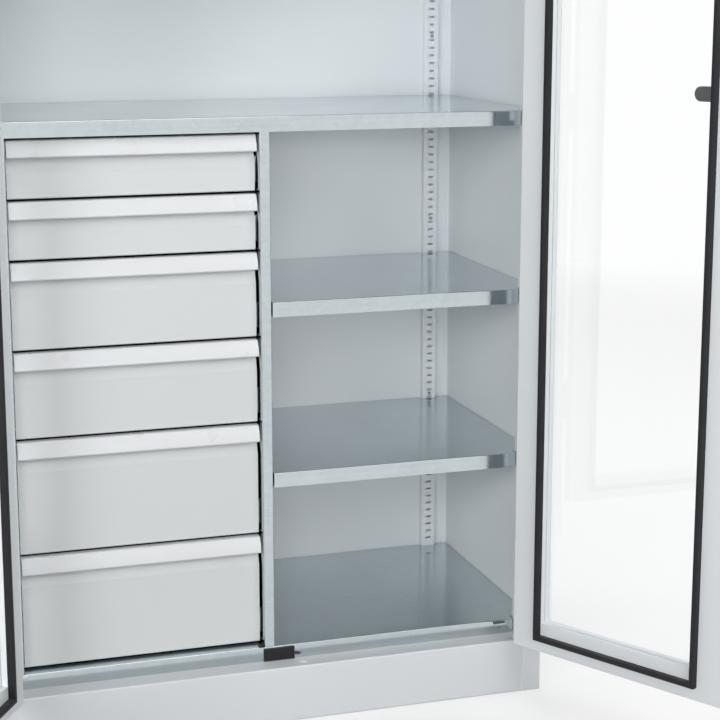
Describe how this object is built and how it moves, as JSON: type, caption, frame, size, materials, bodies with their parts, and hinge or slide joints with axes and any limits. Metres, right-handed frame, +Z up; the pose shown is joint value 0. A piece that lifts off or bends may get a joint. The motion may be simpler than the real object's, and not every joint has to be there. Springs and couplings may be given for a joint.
{
  "type": "storage cabinet",
  "caption": "Tall sheet-steel storage cabinet with two hinged window doors, a stack of drawers beside adjustable half shelves, and full-width shelves above.",
  "frame": {"origin": "middle of the footprint, on the floor, between the four floor anchor holes", "axes": "+X to the right seen from the front, +Y to the back, +Z up; the doors are at the front, on the -Y side"},
  "size_m": [1.3788, 0.9362, 1.95],
  "materials": {
    "body_paint": "satin powder coat",
    "base_paint": "satin powder coat",
    "door_paint": "satin powder coat",
    "drawer_paint": "satin powder coat",
    "grip_paint": "light satin",
    "zinc_sheet": "galvanised",
    "hardware": "zinc plated",
    "rubber": "matte",
    "lock_black": "matte",
    "pane": "clear"
  },
  "bodies": {
    "carcass": {"side_panel_left": "body_paint", "side_panel_right": "body_paint", "back_panel": "body_paint", "roof_panel": "body_paint", "front_header": "body_paint", "base_front": "base_paint", "base_rear": "base_paint", "base_bearers": "base_paint", "slotted_columns": "body_paint", "floor_tray": "zinc_sheet", "centre_divider": "zinc_sheet", "drawer_partition": "zinc_sheet", "main_shelf": "zinc_sheet", "upper_shelves": "zinc_sheet", "half_shelves": "zinc_sheet", "shelf_brackets": "zinc_sheet", "fixed_runners": "zinc_sheet", "column_screws": "hardware", "rubber_pads": "rubber", "hinge_pins": "hardware", "frame_knuckles": "body_paint"},
    "door_right": {"door_right_shell": "door_paint", "door_right_pane": "pane", "door_right_trim": "rubber", "door_right_knuckles": "door_paint", "lock_housing": "lock_black", "rod_guides": "lock_black"},
    "door_left": {"door_left_shell": "door_paint", "door_left_pane": "pane", "door_left_trim": "rubber", "door_left_knuckles": "door_paint", "meeting_strip": "door_paint"},
    "lock_handle": {"lock_lever": "lock_black", "lock_cam": "hardware"},
    "rod_upper": {"lock_rod_upper": "hardware"},
    "rod_lower": {"lock_rod_lower": "hardware"},
    "drawer_1": {"drawer_1_front": "drawer_paint", "drawer_1_grip": "grip_paint", "drawer_1_box": "zinc_sheet"},
    "runner_1": {"drawer_1_middle_runners": "zinc_sheet"},
    "drawer_2": {"drawer_2_front": "drawer_paint", "drawer_2_grip": "grip_paint", "drawer_2_box": "zinc_sheet"},
    "runner_2": {"drawer_2_middle_runners": "zinc_sheet"},
    "drawer_3": {"drawer_3_front": "drawer_paint", "drawer_3_grip": "grip_paint", "drawer_3_box": "zinc_sheet"},
    "runner_3": {"drawer_3_middle_runners": "zinc_sheet"},
    "drawer_4": {"drawer_4_front": "drawer_paint", "drawer_4_grip": "grip_paint", "drawer_4_box": "zinc_sheet"},
    "runner_4": {"drawer_4_middle_runners": "zinc_sheet"},
    "drawer_5": {"drawer_5_front": "drawer_paint", "drawer_5_grip": "grip_paint", "drawer_5_box": "zinc_sheet"},
    "runner_5": {"drawer_5_middle_runners": "zinc_sheet"},
    "drawer_6": {"drawer_6_front": "drawer_paint", "drawer_6_grip": "grip_paint", "drawer_6_box": "zinc_sheet"},
    "runner_6": {"drawer_6_middle_runners": "zinc_sheet"}
  },
  "joints": [
    {"name": "door_right_hinge", "type": "hinge", "parent": "carcass", "child": "door_right", "pos_m": [0.463, -0.255, 0], "axis": [0, 0, 1], "range_deg": [-120, 60]},
    {"name": "door_left_hinge", "type": "hinge", "parent": "carcass", "child": "door_left", "pos_m": [-0.463, -0.255, 0], "axis": [0, 0, -1], "range_deg": [-120, 60]},
    {"name": "lock_turn", "type": "hinge", "parent": "door_right", "child": "lock_handle", "pos_m": [0.66267, -0.61084, 1.1], "axis": [-0.866, -0.5, 0], "range_deg": [0, 90]},
    {"name": "rod_upper_slide", "type": "slide", "parent": "door_right", "child": "rod_upper", "axis": [0, 0, 1], "range_m": [0, 0.0145]},
    {"name": "rod_lower_slide", "type": "slide", "parent": "door_right", "child": "rod_lower", "axis": [0, 0, -1], "range_m": [0, 0.0145]},
    {"name": "drawer_1_slide", "type": "slide", "parent": "carcass", "child": "drawer_1", "axis": [0, -1, 0], "range_m": [0, 0.36]},
    {"name": "runner_1_slide", "type": "slide", "parent": "carcass", "child": "runner_1", "axis": [0, -1, 0], "range_m": [0, 0.181]},
    {"name": "drawer_2_slide", "type": "slide", "parent": "carcass", "child": "drawer_2", "axis": [0, -1, 0], "range_m": [0, 0.36]},
    {"name": "runner_2_slide", "type": "slide", "parent": "carcass", "child": "runner_2", "axis": [0, -1, 0], "range_m": [0, 0.181]},
    {"name": "drawer_3_slide", "type": "slide", "parent": "carcass", "child": "drawer_3", "axis": [0, -1, 0], "range_m": [0, 0.36]},
    {"name": "runner_3_slide", "type": "slide", "parent": "carcass", "child": "runner_3", "axis": [0, -1, 0], "range_m": [0, 0.181]},
    {"name": "drawer_4_slide", "type": "slide", "parent": "carcass", "child": "drawer_4", "axis": [0, -1, 0], "range_m": [0, 0.36]},
    {"name": "runner_4_slide", "type": "slide", "parent": "carcass", "child": "runner_4", "axis": [0, -1, 0], "range_m": [0, 0.181]},
    {"name": "drawer_5_slide", "type": "slide", "parent": "carcass", "child": "drawer_5", "axis": [0, -1, 0], "range_m": [0, 0.36]},
    {"name": "runner_5_slide", "type": "slide", "parent": "carcass", "child": "runner_5", "axis": [0, -1, 0], "range_m": [0, 0.181]},
    {"name": "drawer_6_slide", "type": "slide", "parent": "carcass", "child": "drawer_6", "axis": [0, -1, 0], "range_m": [0, 0.36]},
    {"name": "runner_6_slide", "type": "slide", "parent": "carcass", "child": "runner_6", "axis": [0, -1, 0], "range_m": [0, 0.181]}
  ],
  "couplings": [
    {"joint": "rod_upper_slide", "follows": "lock_turn", "m_per_rad": 0.0089},
    {"joint": "rod_lower_slide", "follows": "lock_turn", "m_per_rad": 0.0089},
    {"joint": "runner_1_slide", "follows": "drawer_1_slide", "ratio": 0.5},
    {"joint": "runner_2_slide", "follows": "drawer_2_slide", "ratio": 0.5},
    {"joint": "runner_3_slide", "follows": "drawer_3_slide", "ratio": 0.5},
    {"joint": "runner_4_slide", "follows": "drawer_4_slide", "ratio": 0.5},
    {"joint": "runner_5_slide", "follows": "drawer_5_slide", "ratio": 0.5},
    {"joint": "runner_6_slide", "follows": "drawer_6_slide", "ratio": 0.5}
  ]
}
